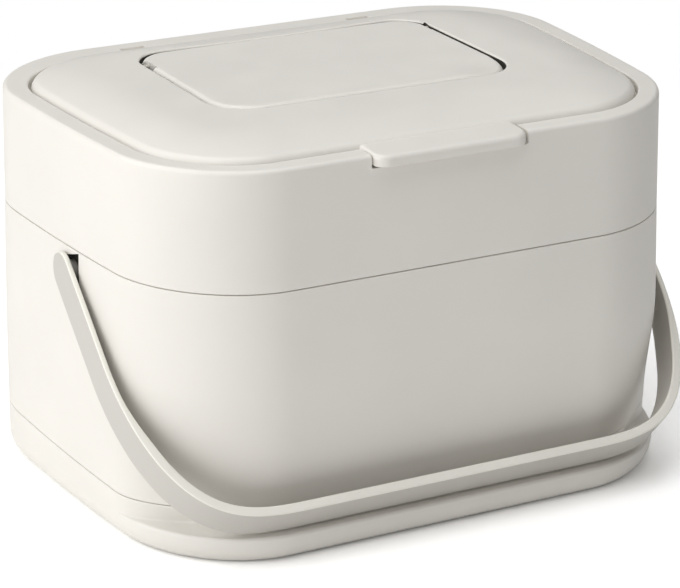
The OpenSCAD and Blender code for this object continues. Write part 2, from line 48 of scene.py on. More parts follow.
HALF_W, HALF_D = 120.0, 92.0
FRONT_R, REAR_R = 48.0, 52.0
SIDE_BOW, REAR_SPREAD = 4.0, 6.4
SEAM_Z, RIM_Z, BASE_Z, BASE_TILT, LEDGE_Z = 107.7, 154.5, 20.8, 2.8, 11.5
FOOT_H, BOTTOM_R, FLARE, DRAFT = 0.8, 8.6, 1.7, 0.9
WALL, GAP = 2.4, 0.3
FLOOR_LOW_Z = FOOT_H + WALL + GAP
FLOOR_TOP_Z = FLOOR_LOW_Z + WALL
FLOOR_IN, FLOOR_IN_TOP = -30.0, -32.0
SCOOP_Z, SCOOP, SCOOP_POWER, SCOOP_BLEND = 68.0, 12.0, 1.4, 0.7
RIM_R, LID_INSET, REAR_LAND, GROOVE, LID_LEDGE = 2.4, 11.0, 3.4, 1.1, 5.0
LID_LOW_Z = RIM_Z - 3.9
LEDGE_TOP_Z = LID_LOW_Z - GAP
DECK_Z = LEDGE_TOP_Z - 2.8
CROWN, LID_RISE, LID_R, LID_SKIN = 4.9, 0.9, 3.2, 2.4
DOME_RUN, DOME_POWER = 32.0, 2.2
LID_AXIS = (HALF_D - LID_INSET - REAR_LAND + 3.4, RIM_Z - 1.7 - GAP)
LUG_X, LUG_HALF, KNUCKLE_R = 52.0, 5.0, 1.7
SPIGOT_Z, SPIGOT_OUT, SPIGOT_IN = SEAM_Z - 3.6, 2.8, 5.2
TAB_HALF, TAB_REACH, TAB_DROP, TAB_R, TAB_GAP = 32.6, 2.4, 4.6, 6.0, 0.5
TAB_FACE_Y, TAB_ROOT_Y = -HALF_D - TAB_REACH, -HALF_D + LID_INSET + 3.5
TAB_RISE, TAB_BEND, TAB_BEND_RUN = 0.75, 1.15, 16.0
COVER_W, COVER_Y0, COVER_Y1 = 64.0, -33.0, 56.0
COVER_RF, COVER_RR, COVER_GAP, COVER_R = 17.6, 14.0, 1.0, 2.7
BRIM_R, CORNER_DIP, DIP_REACH = 0.7, 1.7, 26.0
COVER_TOP_Z = RIM_Z + CROWN + 0.2
COVER_LOW_Z = COVER_TOP_Z - 3.0
WELL_LOW_Z, WELL_TOP_Z = 152.3, 156.2
COVER_AXIS = (COVER_Y1 - 12.0, COVER_TOP_Z - 2.2)
TROUGH_Y, NOTCH_DROP, NOTCH_IN = COVER_AXIS[0] - 5.5, 4.2, 2.4
NOTCH_Y0, NOTCH_Y1 = COVER_AXIS[0] - 9.0, COVER_AXIS[0] + 2.5
PIVOT_Y, PIVOT_Z = -8.5, 97.5
STRAP_W, STRAP_T, BAR_T = 16.2, 2.2, 3.9
HANDLE_LEN, REST_ANGLE = 117.563, math.radians(42.503)
ARM_X, ARM_LEAN, THICKEN_S, THICKEN_RUN = 122.675, 0.3, RIM_Z - 97.5, 28.0
BEND_X, BEND_S, BEND_POWER = 65.5, 73.5, 3.6
POCKET_X, POCKET_GAP, POCKET_TOP, POCKET_FRONT = 116.975, 0.8, SEAM_Z - 0.5, 8.6
POCKET_SLOPE = math.radians(17)
BACKING_X, BACKING_Y, BACKING_LOW_Z = (113.4, 117.5), (-19, 2), 87

MM = 0.001

# ---- Plan outlines ----------------------------------------------------------------------


def arc_run(cx, cy, r, start, n):
    """A quarter circle's columns (x, y, normal), its last one left out."""
    a = np.radians(start + 90.0 * np.arange(n) / n)
    return np.stack([cx + r * np.cos(a), cy + r * np.sin(a), np.cos(a), np.sin(a)], 1)


def straight_run(p, q, normal, n):
    """A straight side's columns from p to q, the last one left out."""
    t = (np.arange(n) / n)[:, None]
    xy = np.array(p) * (1 - t) + np.array(q) * t
    return np.hstack([xy, np.tile(normal, (n, 1))])


def rounded_outline(hw, y0, y1, rf, rr, front=56, corner=28, side=40):
    """Rounded rectangle as columns (x, y, normal), counter-clockwise from the front."""
    return np.vstack([
        straight_run((rf - hw, y0), (hw - rf, y0), (0.0, -1.0), front),
        arc_run(hw - rf, y0 + rf, rf, -90, corner),
        straight_run((hw, y0 + rf), (hw, y1 - rr), (1.0, 0.0), side),
        arc_run(hw - rr, y1 - rr, rr, 0, corner),
        straight_run((hw - rr, y1), (rr - hw, y1), (0.0, 1.0), front),
        arc_run(rr - hw, y1 - rr, rr, 90, corner),
        straight_run((-hw, y1 - rr), (-hw, y0 + rf), (-1.0, 0.0), side),
        arc_run(rf - hw, y0 + rf, rf, 180, corner),
    ])


BODY = rounded_outline(HALF_W, -HALF_D, HALF_D, FRONT_R, REAR_R)
COVER = rounded_outline(COVER_W, COVER_Y0, COVER_Y1, COVER_RF, COVER_RR)


def smooth(t):
    u = np.clip(t, 0.0, 1.0)
    return u * u * (3 - 2 * u)


SCOOP_SHARE = smooth((FRONT_R - HALF_D - BODY[:, 1]) / (FRONT_R * SCOOP_BLEND))


def bowed(x, y):
    """Sides bow out in the middle and spread to the rear."""
    return x * (1 - SIDE_BOW / HALF_W * (y / HALF_D) ** 2) * (1 + REAR_SPREAD / HALF_W * y / HALF_D)


def tilted(z):
    """Height z around the body, rising towards the rear as the groove above the base tray does."""
    return z + BASE_TILT * BODY[:, 1] / HALF_D


def scoop_at(z):
    return SCOOP * np.clip((SCOOP_Z - z) / (SCOOP_Z - LEDGE_Z), 0, 1) ** SCOOP_POWER


def skin_offset(z):
    """Offset of the outer skin from the seam outline at height z."""
    if z < SEAM_Z:
        return FLARE * (1 - (z / SEAM_Z) ** 2)
    return -DRAFT * (z - SEAM_Z) / (RIM_Z - SEAM_Z)


def body_row(off, z):
    """One row of points around the body: off grows it, and the land behind the lid is wider."""
    off = np.broadcast_to(np.asarray(off, float), len(BODY))
    y = BODY[:, 1] + BODY[:, 3] * off
    x = bowed(BODY[:, 0] + BODY[:, 2] * off, y)
    share = np.clip((-off - WALL) / (LID_INSET - GROOVE - WALL), 0, 1)
    y = np.where(y > 0, y * (1 - share * REAR_LAND / (HALF_D - LID_INSET)), y)
    return np.stack([x, y, np.broadcast_to(np.asarray(z, float), len(BODY))], 1)


def cover_row(off, z):
    """One row of points around the filter cover, grown by off."""
    x, y = COVER[:, 0] + COVER[:, 2] * off, COVER[:, 1] + COVER[:, 3] * off
    return np.stack([x, y, np.broadcast_to(np.asarray(z, float), len(COVER))], 1)


# ---- Profiles with rounded corners ------------------------------------------------------


def unit(v):
    return v / np.maximum(np.linalg.norm(v, axis=1, keepdims=True), 1e-9)


def rounded_profile(corners, closed, steps):
    """Profile corners (offset, z, radius) to rows of (offset, z), each corner drawn as an arc.
    Offset and z may differ from column to column."""
    n = len(BODY)
    pts = [np.stack([np.broadcast_to(np.asarray(o, float), n), np.broadcast_to(np.asarray(z, float), n)], 1)
           for o, z, _ in corners]
    rows, last = [], len(pts) - 1
    for i, (_, _, r) in enumerate(corners):
        p = pts[i]
        if r == 0 or (not closed and i in (0, last)):
            rows.append(p)
            continue
        a, b = pts[i - 1], pts[(i + 1) % len(pts)]
        da, db = unit(a - p), unit(b - p)
        half = np.arccos(np.clip((da * db).sum(1), -1, 1)) / 2
        room = 0.46 * np.minimum(np.linalg.norm(a - p, axis=1), np.linalg.norm(b - p, axis=1))
        t = np.minimum(r / np.maximum(np.tan(half), 1e-3), room)[:, None]
        w = np.sin(half)[:, None]
        for u in np.linspace(0, 1, steps + 1):
            k0, k1, k2 = (1 - u) ** 2, 2 * w * u * (1 - u), u ** 2
            rows.append((k0 * (p + da * t) + k1 * p + k2 * (p + db * t)) / (k0 + k1 + k2))
    return rows


def body_rows(corners, closed=False, steps=5):
    return [body_row(r[:, 0], r[:, 1]) for r in rounded_profile(corners, closed, steps)]


# ---- Mesh building ----------------------------------------------------------------------


def ring_faces(rows, closed):
    """Quads between neighbouring rows of a closed outline."""
    n = len(rows[0])
    faces = []
    pairs = len(rows) if closed else len(rows) - 1
    for k in range(pairs):
        a, b = k * n, ((k + 1) % len(rows)) * n
        for i in range(n):
            j = (i + 1) % n
            faces.append((a + i, a + j, b + j, b + i))
    return faces


def rows_object(name, rows, closed=False):
    """Object from rows of points; an open stack of rows is capped at both ends."""
    n = len(rows[0])
    faces = ring_faces(rows, closed)
    if not closed:
        faces.append(tuple(reversed(range(n))))
        faces.append(tuple((len(rows) - 1) * n + i for i in range(n)))
    return mesh_object(name, np.vstack(rows), faces)


def mesh_object(name, points, faces):
    mesh = bpy.data.meshes.new(name)
    mesh.from_pydata((np.asarray(points) * MM).tolist(), [], [list(map(int, f)) for f in faces])
    obj = bpy.data.objects.new(name, mesh)
    bpy.context.scene.collection.objects.link(obj)
    bm = bmesh.new()
    bm.from_mesh(mesh)
    bmesh.ops.remove_doubles(bm, verts=bm.verts, dist=2e-6)
    bmesh.ops.recalc_face_normals(bm, faces=bm.faces)
    bm.to_mesh(mesh)
    bm.free()
    return obj


def block_object(name, low, high, bevel=0.0):
    """Block between two corners, with its edges rounded where a bevel is given."""
    obj = mesh_object(name, *block_mesh(low, high))
    if bevel:
        round_edges(obj, bevel, 3)
    return obj


def block_mesh(low, high):
    (x0, y0, z0), (x1, y1, z1) = low, high
    points = [(x, y, z) for z in (z0, z1) for y in (y0, y1) for x in (x0, x1)]
    return points, [(0, 2, 3, 1), (4, 5, 7, 6), (0, 1, 5, 4), (2, 6, 7, 3), (0, 4, 6, 2), (1, 3, 7, 5)]


def bar_object(name, r, x0, x1, y, z, bevel):
    """Round bar along X, with its ends bevelled."""
    a = np.radians(np.arange(48) * 7.5)
    rows = []
    for x, rr in ((x0, r - bevel), (x0 + bevel, r), (x1 - bevel, r), (x1, r - bevel)):
        rows.append(np.stack([np.full(48, x), y + rr * np.cos(a), z + rr * np.sin(a)], 1))
    return rows_object(name, rows)


def round_edges(obj, width, segments, angle=30.0):
    """Rounds every edge sharper than the angle."""
    bm = bmesh.new()
    bm.from_mesh(obj.data)
    bmesh.ops.dissolve_limit(bm, angle_limit=math.radians(1.5), verts=bm.verts, edges=bm.edges)
    sharp = [e for e in bm.edges if len(e.link_faces) == 2 and e.calc_face_angle(0) > math.radians(angle)]
    bmesh.ops.bevel(
        bm, geom=sharp, offset=width * MM, offset_type="OFFSET", segments=segments, profile=0.5,
        affect="EDGES", clamp_overlap=True,
    )
    bm.to_mesh(obj.data)
    bm.free()


def cut(obj, cutter, operation="DIFFERENCE"):
    """Cuts or joins one object with another, which then goes. The faces it leaves keep its material: on the
    strap pocket, the cover's trough and the lid's notches that is painted shade.
    """
    mod = obj.modifiers.new("cut", "BOOLEAN")
    mod.object, mod.operation, mod.solver = cutter, operation, "EXACT"
    mod.material_mode = "TRANSFER"
    apply_modifiers(obj)
    bpy.data.objects.remove(cutter)


def apply_modifiers(obj):
    graph = bpy.context.evaluated_depsgraph_get()
    mesh = bpy.data.meshes.new_from_object(obj.evaluated_get(graph))
    obj.modifiers.clear()
    old, obj.data = obj.data, mesh
    bpy.data.meshes.remove(old)


def finish_surface(obj, angle=28.0):
    """Smooth shading with real edges kept, and normals that follow the large faces."""
    mesh = obj.data
    bm = bmesh.new()
    bm.from_mesh(mesh)
    bmesh.ops.remove_doubles(bm, verts=bm.verts, dist=1e-6)
    for f in bm.faces:
        f.smooth = True
    for e in bm.edges:
        flat = len(e.link_faces) == 2 and e.calc_face_angle(0) <= math.radians(angle)
        e.smooth = flat
    bm.to_mesh(mesh)
    bm.free()
    mod = obj.modifiers.new("normals", "WEIGHTED_NORMAL")
    mod.keep_sharp = True
    mod.weight = 80


def shade_rows(obj, material, per_row, chosen):
    """Gives a second material to the faces whose (row, column) in the stack of rows is chosen: painted
    shade in the lid's well, a painted highlight on the strap's upper edge.
    """
    obj.data.materials.append(SHELL)
    obj.data.materials.append(material)
    for face in obj.data.polygons:
        if chosen(face.index // per_row, face.index % per_row):
            face.material_index = 1


def place(obj, body, node, material):
    """Gives a piece its main finish, its body and the node it stands for."""
    if not obj.data.materials:
        obj.data.materials.append(material)
    obj.data.materials[0] = material
    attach(obj, body)
    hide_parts(node)
    return obj


def join(objects):
    """One object from several, the first one's name kept."""
    base = objects[0]
    bm = bmesh.new()
    bm.from_mesh(base.data)
    for other in objects[1:]:
        bm.from_mesh(other.data)
        bpy.data.objects.remove(other)
    bm.to_mesh(base.data)
    bm.free()
    return base


# ---- Materials --------------------------------------------------------------------------


def new_material(name, color, rough, specular=0.5):
    mat = bpy.data.materials.new(name)
    mat.use_nodes = True
    shader = mat.node_tree.nodes["Principled BSDF"]
    shader.inputs["Base Color"].default_value = (*color, 1)
    shader.inputs["Roughness"].default_value = rough
    shader.inputs["Specular IOR Level"].default_value = specular
    return mat, mat.node_tree, shader


def add_node(tree, kind, **inputs):
    """A node, with its inputs set by name: a number or colour is a value, a socket is a link."""
    node = tree.nodes.new(kind)
    for name, value in inputs.items():
        spaced = name.replace("_", " ")
        socket = node.inputs[spaced if spaced in node.inputs else name]
        if isinstance(value, bpy.types.NodeSocket):
            tree.links.new(value, socket)
        else:
            socket.default_value = value
    return node


def noise(tree, scale, detail, rough=0.5):
    coord = add_node(tree, "ShaderNodeTexCoord").outputs["Object"]
    node = add_node(tree, "ShaderNodeTexNoise", Vector=coord, Scale=scale, Detail=detail, Roughness=rough)
    return node.outputs["Fac"]


def ramp(tree, factor, stops):
    node = add_node(tree, "ShaderNodeValToRGB", Fac=factor)
    elements = node.color_ramp.elements
    for i, (place_at, value) in enumerate(stops):
        e = elements[i] if i < 2 else elements.new(place_at)
        e.position = place_at
        e.color = (*value, 1) if isinstance(value, tuple) else (value, value, value, 1)
    return node.outputs["Color"]


def scaled(color, k):
    """The colour made k times as bright, held below white."""
    return tuple(min(c * k, 1) for c in color)


def bumped(tree, shader, fine, broad):
    """Two layers of bump, each given as (strength, distance, height)."""
    under = None
    for strength, distance, height in (fine, broad):
        layer = add_node(tree, "ShaderNodeBump", Strength=strength, Distance=distance, Height=height)
        if under:
            tree.links.new(under, layer.inputs["Normal"])
        under = layer.outputs["Normal"]
    tree.links.new(under, shader.inputs["Normal"])


def plastic(name, color, rough, grain=0.05, worn=1.03):
    """Moulded plastic: a fine etched grain, faint flow marks, and slightly paler edges."""
    mat, tree, shader = new_material(name, color, rough)
    cloudy = ramp(tree, noise(tree, 16, 3), [(0.3, scaled(color, 0.975)), (0.7, scaled(color, 1.015))])
    pointy = add_node(tree, "ShaderNodeNewGeometry").outputs["Pointiness"]
    edge = ramp(tree, pointy, [(0.505, 0.0), (0.56, 1.0)])
    mix = tree.nodes.new("ShaderNodeMix")
    mix.data_type = "RGBA"
    tree.links.new(edge, mix.inputs[0])
    tree.links.new(cloudy, mix.inputs[6])
    mix.inputs[7].default_value = (*scaled(color, worn), 1)
    tree.links.new(mix.outputs[2], shader.inputs["Base Color"])
    sheen = ramp(tree, noise(tree, 60, 4, 0.6), [(0.3, rough - 0.05), (0.7, rough + 0.06)])
    tree.links.new(sheen, shader.inputs["Roughness"])
    bumped(tree, shader, (grain, 0.00012, noise(tree, 2600, 2)), (0.05, 0.0006, noise(tree, 45, 2)))
    return mat


def felt(name, color):
    """Charcoal felt: matted fibres with lighter flecks."""
    mat, tree, shader = new_material(name, color, 0.95, 0.2)
    fibres = noise(tree, 1500, 6, 0.75)
    clumps = noise(tree, 260, 4, 0.65)
    flecks = [(0.35, scaled(color, 0.55)), (0.62, color), (0.8, scaled(color, 2.6))]
    tree.links.new(ramp(tree, fibres, flecks), shader.inputs["Base Color"])
    shader.inputs["Sheen Weight"].default_value = 0.3
    bumped(tree, shader, (0.8, 0.0005, fibres), (0.5, 0.001, clumps))
    return mat


def rubber(name, color):
    mat, tree, shader = new_material(name, color, 0.8, 0.3)
    mottled = ramp(tree, noise(tree, 120, 4), [(0.3, scaled(color, 0.85)), (0.7, scaled(color, 1.15))])
    tree.links.new(mottled, shader.inputs["Base Color"])
    bump = add_node(tree, "ShaderNodeBump", Strength=0.3, Distance=0.0002, Height=noise(tree, 1800, 3))
    tree.links.new(bump.outputs["Normal"], shader.inputs["Normal"])
    return mat


SHELL = plastic("shell_plastic", (0.80, 0.775, 0.725), 0.42)
# The strap is a greyer plastic than the shell, made darker still as painted shade on its faces.
STRAP = plastic("strap_grey_and_painted_shade", (0.56, 0.54, 0.50), 0.45)
# Painted highlight: a paler copy of the strap's plastic for its upper edge, which catches the light.
STRAP_PAINTED_HIGHLIGHT = plastic("strap_edge", (0.86, 0.84, 0.77), 0.45)
# Painted shade: a near-black put on the walls of the strap pocket, the cover's well, trough and notches,
# where the real object is only in shade.
GAP_SHADE = plastic("gap_shade", (0.035, 0.032, 0.025), 0.7)
INNER = plastic("inner_plastic", (0.72, 0.69, 0.63), 0.5)
PIN = plastic("pin_plastic", (0.55, 0.53, 0.48), 0.4)
FELT = felt("charcoal_felt", (0.045, 0.045, 0.043))
RUBBER = rubber("foot_rubber", (0.30, 0.30, 0.29))

# ---- Base tray --------------------------------------------------------------------------


def edge_inset(r, t):
    """Inset of a rounded edge of radius r at depth t."""
    return r - np.sqrt(r * r - (r - min(max(t, 0), r)) ** 2)


def build_tray():
    under = [
        (skin_offset(z) - edge_inset(BOTTOM_R, z), z, 0)
        for z in FOOT_H + (BOTTOM_R - FOOT_H) * (1 - np.cos(np.linspace(0, math.pi / 2, 12)))
    ]
    low, high = scoop_at(LEDGE_Z) * SCOOP_SHARE, scoop_at(BASE_Z) * SCOOP_SHARE
    inner = -WALL - low
    corners = [(FLOOR_IN, FOOT_H, 0), (under[0][0] - 0.6, FOOT_H, 0), *under]
    corners += [
        (skin_offset(LEDGE_Z), LEDGE_Z, 4.0),
        (skin_offset(LEDGE_Z) - low, LEDGE_Z + GAP, 0.9),
        (skin_offset(BASE_Z) - high, tilted(BASE_Z), 0.5),
        (skin_offset(BASE_Z) - high - 1.5, tilted(BASE_Z), 0.4),
        (inner, LEDGE_Z + 2.5, 0),
        (inner, FOOT_H + WALL, 0.6),
        (FLOOR_IN_TOP, FOOT_H + WALL, 0),
    ]
    tray = rows_object("tray_shell", body_rows(corners))
    finish_surface(tray)
    return place(tray, "bucket", "base_tray", SHELL)


# ---- Bucket -----------------------------------------------------------------------------


def side_prism(name, points, side, x0, x1):
    """Prism across the body's side, from its outline in the side view."""
    rows = [np.array([(side * x, y, z) for y, z in points]) for x in (x0, x1)]
    return rows_object(name, rows)


def cut_pocket(bucket, side):
    """Pocket for the strap's end: round, with a square upper front corner under a sloping roof."""
    r = STRAP_W / 2
    front_y, slope = PIVOT_Y - POCKET_FRONT, math.tan(POCKET_SLOPE)
    round_part = [(PIVOT_Y + (r + POCKET_GAP) * math.cos(a), PIVOT_Z + (r + POCKET_GAP) * math.sin(a))
                  for a in np.radians(np.arange(0, 360, 5))]
    corner = [(front_y, PIVOT_Z), (PIVOT_Y, PIVOT_Z), (PIVOT_Y, SEAM_Z), (front_y, SEAM_Z)]
    rear_y = PIVOT_Y + 2 * r
    roof = [(front_y - r, 0), (rear_y, 0), (rear_y, POCKET_TOP - (rear_y - front_y) * slope),
            (front_y, POCKET_TOP), (front_y - r, POCKET_TOP)]
    pocket = side_prism("pocket", round_part, side, POCKET_X, 140.0)
    cut(pocket, side_prism("corner", corner, side, POCKET_X, 140.0), "UNION")
    cut(pocket, side_prism("roof", roof, side, POCKET_X - 1, 141.0), "INTERSECT")
    # The pocket's walls get the painted shade.
    pocket.data.materials.clear()
    pocket.data.materials.append(GAP_SHADE)
    cut(bucket, pocket)


def build_bucket():
    low_z = BASE_Z + GAP
    zs = [*np.linspace(low_z + 5, SCOOP_Z, 20), *np.linspace(SCOOP_Z + 4, SEAM_Z - 2, 12)]
    nest = scoop_at(LEDGE_Z) * SCOOP_SHARE
    outside = -WALL - GAP - nest
    corners = [(FLOOR_IN, FLOOR_LOW_Z, 0), (outside, FLOOR_LOW_Z, 0), (outside, tilted(low_z), 0)]
    corners += [(skin_offset(low_z) - scoop_at(low_z) * SCOOP_SHARE, tilted(low_z), 0.5)]
    corners += [(skin_offset(z) - scoop_at(z) * SCOOP_SHARE, z, 0) for z in zs]
    corners += [(0, SEAM_Z, 0.5), (-WALL, SEAM_Z, 0.4)]
    corners += [(skin_offset(z) - WALL - scoop_at(z) * SCOOP_SHARE, z, 0) for z in reversed(zs[2::3])]
    inside = -2 * WALL - GAP - nest
    corners += [(inside, low_z + WALL, 0), (inside, FLOOR_TOP_Z, 1.0), (FLOOR_IN_TOP, FLOOR_TOP_Z, 0)]
    bucket = rows_object("bucket_shell", body_rows(corners))
    for side in (-1, 1):
        x0, x1 = sorted((side * BACKING_X[0], side * BACKING_X[1]))
        low, high = (x0, BACKING_Y[0], BACKING_LOW_Z), (x1, BACKING_Y[1], SEAM_Z - GAP)
        cut(bucket, block_object("backing", low, high), "UNION")
        cut_pocket(bucket, side)
    finish_surface(bucket)
    return place(bucket, "bucket", "bucket", SHELL)


# ---- Rim collar -------------------------------------------------------------------------


def build_collar():
    zs = np.linspace(SEAM_Z + 4, RIM_Z - 4, 10)
    inner = -WALL - DRAFT
    corners = [(0, SEAM_Z + GAP, 0.5)]
    corners += [(skin_offset(z), z, 0) for z in zs]
    corners += [
        (-DRAFT, RIM_Z, RIM_R),
        (-6.0, RIM_Z, 0),
        (GROOVE - LID_INSET, RIM_Z, 0.7),
        (GROOVE - LID_INSET, LEDGE_TOP_Z, 0.3),
        (-LID_LEDGE - LID_INSET, LEDGE_TOP_Z, 0.4),
        (-LID_LEDGE - LID_INSET, DECK_Z, 0.4),
        (inner, DECK_Z, 1.5),
        (inner, SEAM_Z + 4, 0.5),
        (-SPIGOT_IN, SEAM_Z + 3, 0.5),
        (-SPIGOT_IN, SPIGOT_Z, 0.6),
        (-SPIGOT_OUT, SPIGOT_Z, 0.6),
        (-SPIGOT_OUT, SEAM_Z + GAP, 0),
    ]
    collar = rows_object("collar_shell", body_rows(corners, closed=True), closed=True)
    shelf = RIM_Z - TAB_DROP - 0.6
    half = TAB_HALF + TAB_GAP
    rear_y = -HALF_D + LID_INSET + 1
    cut(collar, block_object("notch", (-half, -120, shelf), (half, rear_y, RIM_Z + 9), 0.6))
    for side in (-1, 1):
        x = side * LUG_X
        low = (x - LUG_HALF - GAP, HALF_D - LID_INSET - REAR_LAND - 0.5, LID_AXIS[1] - KNUCKLE_R - GAP)
        high = (x + LUG_HALF + GAP, LID_AXIS[0] + KNUCKLE_R + GAP, RIM_Z + 3)
        cut(collar, block_object("slot", low, high))
    finish_surface(collar)
    return place(collar, "rim", "rim_collar", SHELL)


# ---- Lid --------------------------------------------------------------------------------


def dome_height(d):
    """Height of the lid's top above the collar's, at inset d from its edge."""
    return LID_RISE + (CROWN - LID_RISE) * (1 - (1 - np.clip(d / DOME_RUN, 0, 1)) ** DOME_POWER)


def dome_rows(drop, first, last_off, shares):
    """Rows over the lid, lowered by drop, one for each share of the way from the lid's edge, inset by
    first, to the filter cover's outline, grown by last_off."""
    edge = body_row(-LID_INSET - first, 0.0)
    inner = cover_row(last_off, 0.0)
    span = np.linalg.norm(inner[:, :2] - edge[:, :2], axis=1)
    rows = []
    for t in shares:
        xy = edge[:, :2] * (1 - t) + inner[:, :2] * t
        z = RIM_Z + dome_height(first + t * span) - drop
        rows.append(np.column_stack([xy, z]))
    return rows


def build_lid():
    edge = []
    for a in np.radians(np.linspace(0, 84, 11)):
        inset = LID_R * (1 - math.cos(a))
        edge.append(body_row(-LID_INSET - inset, RIM_Z + dome_height(inset) - LID_R * (1 - math.sin(a))))
    shares = np.linspace(0, 1, 26) ** 1.25
    top = dome_rows(0.0, LID_R, COVER_GAP + BRIM_R, shares)
    brim = []
    for a in np.radians([15, 35, 60, 90]):
        off = COVER_GAP + BRIM_R * (1 - math.sin(a))
        z = top[-1][:, 2] - BRIM_R * (1 - math.cos(a))
        brim.append(np.column_stack([cover_row(off, 0)[:, :2], z]))
    well = [
        cover_row(COVER_GAP, COVER_LOW_Z + 0.1), cover_row(COVER_GAP - 0.3, COVER_LOW_Z - GAP),
        cover_row(-2.8, COVER_LOW_Z - GAP), cover_row(-3.0, COVER_LOW_Z - GAP - 0.3),
        cover_row(-3.0, WELL_LOW_Z),
    ]
    wall = [cover_row(COVER_GAP + WALL, WELL_LOW_Z), cover_row(COVER_GAP + WALL, WELL_TOP_Z)]
    below = dome_rows(LID_SKIN + 0.2, LID_SKIN, COVER_GAP + WALL, [0.9, 0.7, 0.5, 0.3, 0.15, 0.05, 0.0])
    low = [body_row(-LID_INSET - LID_SKIN, LID_LOW_Z), body_row(-LID_INSET - 0.4, LID_LOW_Z)]
    low += [body_row(-LID_INSET, LID_LOW_Z + 0.4)]
    rows = edge + top + brim + well + wall + below + low
    lid = rows_object("lid_shell_skin", rows, closed=True)
    first = len(edge) + len(top) + len(brim) - 1
    last = first + len(well)
    # The well around the cover gets painted shade.
    shade_rows(lid, GAP_SHADE, len(rows[0]), lambda row, column: first <= row < last)
    cut_cover_seat(lid)
    finish_surface(lid)
    tab = build_tab()
    lugs = [build_lug(-1), build_lug(1)]
    lid = join([lid, tab, *lugs])
    return place(lid, "lid", "lid_shell", SHELL)


def cut_cover_seat(lid):
    """The trough under the cover's hinge and the notches at its two ends."""
    low_z = COVER_AXIS[1] - NOTCH_DROP
    trough = rows_object("trough", [cover_row(COVER_GAP - 0.02, 130), cover_row(COVER_GAP - 0.02, 170)])
    cut(trough, block_object("front", (-90, -90, 120), (90, TROUGH_Y, 180)))
    trough.data.materials.append(GAP_SHADE)
    cut(lid, trough)
    for side in (-1, 1):
        x0, x1 = sorted((side * (COVER_W - 9), side * (COVER_W + COVER_GAP)))
        notch = block_object("notch", (x0, NOTCH_Y0, low_z), (x1, NOTCH_Y1, 170), 0.5)
        notch.data.materials.append(GAP_SHADE)
        cut(lid, notch)


def build_lug(side):
    """Lug that carries the lid's hinge pin, rounded about the axis."""
    y, z = LID_AXIS
    points = [(-8.0, -1.6), (-0.3, -1.75)]
    turn = np.radians(np.linspace(-70, 90, 15))
    points += [(KNUCKLE_R * math.cos(a), KNUCKLE_R * math.sin(a)) for a in turn]
    points += [(-8.0, 1.6)]
    rows = [np.array([(side * x, y + p, z + q) for p, q in points])
            for x in (LUG_X - LUG_HALF, LUG_X + LUG_HALF)]
    lug = rows_object("lug", rows)
    round_edges(lug, 0.3, 2)
    finish_surface(lug)
    lug.modifiers.clear()
    return lug


# ---- Finger tab -------------------------------------------------------------------------


def tab_outline(inset):
    """Plan of the finger tab, drawn in by inset: round front corners, root under the lid."""
    root, face = TAB_ROOT_Y, TAB_FACE_Y + inset
    half, rc = TAB_HALF - inset, max(TAB_R - inset, 0.4)
    turn = np.linspace(0, math.pi / 2, 13)
    left = [(-half + rc - rc * math.cos(a), face + rc - rc * math.sin(a)) for a in turn]
    right = [(-x, y) for x, y in reversed(left)]
    front = [(x, face) for x in np.linspace(left[-1][0], right[0][0], 42)[1:-1]]
    sides = np.linspace(root, left[0][1], 16)[:-1]
    back = [(x, root) for x in np.linspace(half, -half, 42)[1:-1]]
    pts = [(-half, y) for y in sides] + left + front + right + [(half, y) for y in sides[::-1]] + back
    return np.array(pts)


def tab_top(y):
    """Height of the tab's top: it leaves the lid's slope and bends down a little towards its face."""
    u = np.clip((y - TAB_FACE_Y) / TAB_BEND_RUN, 0, 1)
    return RIM_Z + TAB_RISE - TAB_BEND * (1 - u) ** 2


def tab_under(y):
    """Height of the tab's underside, a little higher behind its face."""
    u = y - TAB_FACE_Y
    return RIM_Z - TAB_DROP + 0.4 * smooth((u - 2.6) / 2.0)


def build_tab():
    r = 1.8
    rows = []
    for k in (0.15, 0.4, 0.65, 0.85):
        ring = tab_outline(r)
        mid = ring.mean(0)
        xy = mid + (ring - mid) * k
        rows.append(np.column_stack([xy, tab_top(xy[:, 1])]))
    for a in np.radians(np.linspace(90, 0, 9)):
        xy = tab_outline(r * (1 - math.cos(a)))
        rows.append(np.column_stack([xy, tab_top(xy[:, 1]) - r * (1 - math.sin(a))]))
    for inset, lift in ((0.0, 0.5), (0.15, 0.15), (0.5, 0.0), (1.8, 0.0), (4.0, 0.0), (7.0, 0.0)):
        xy = tab_outline(inset)
        rows.append(np.column_stack([xy, tab_under(xy[:, 1]) + lift]))
    tab = rows_object("tab", rows)
    finish_surface(tab)
    tab.modifiers.clear()
    return tab


# ---- Filter cover -----------------------------------------------------------------------


def cover_dip(points):
    """The cover's front right corner dips so that a fingertip finds its edge."""
    d = np.hypot(points[:, 0] - COVER_W + 1, (points[:, 1] - COVER_Y0 - 2) * 1.1)
    points[:, 2] -= CORNER_DIP * (1 - smooth(d / DIP_REACH))
    return points


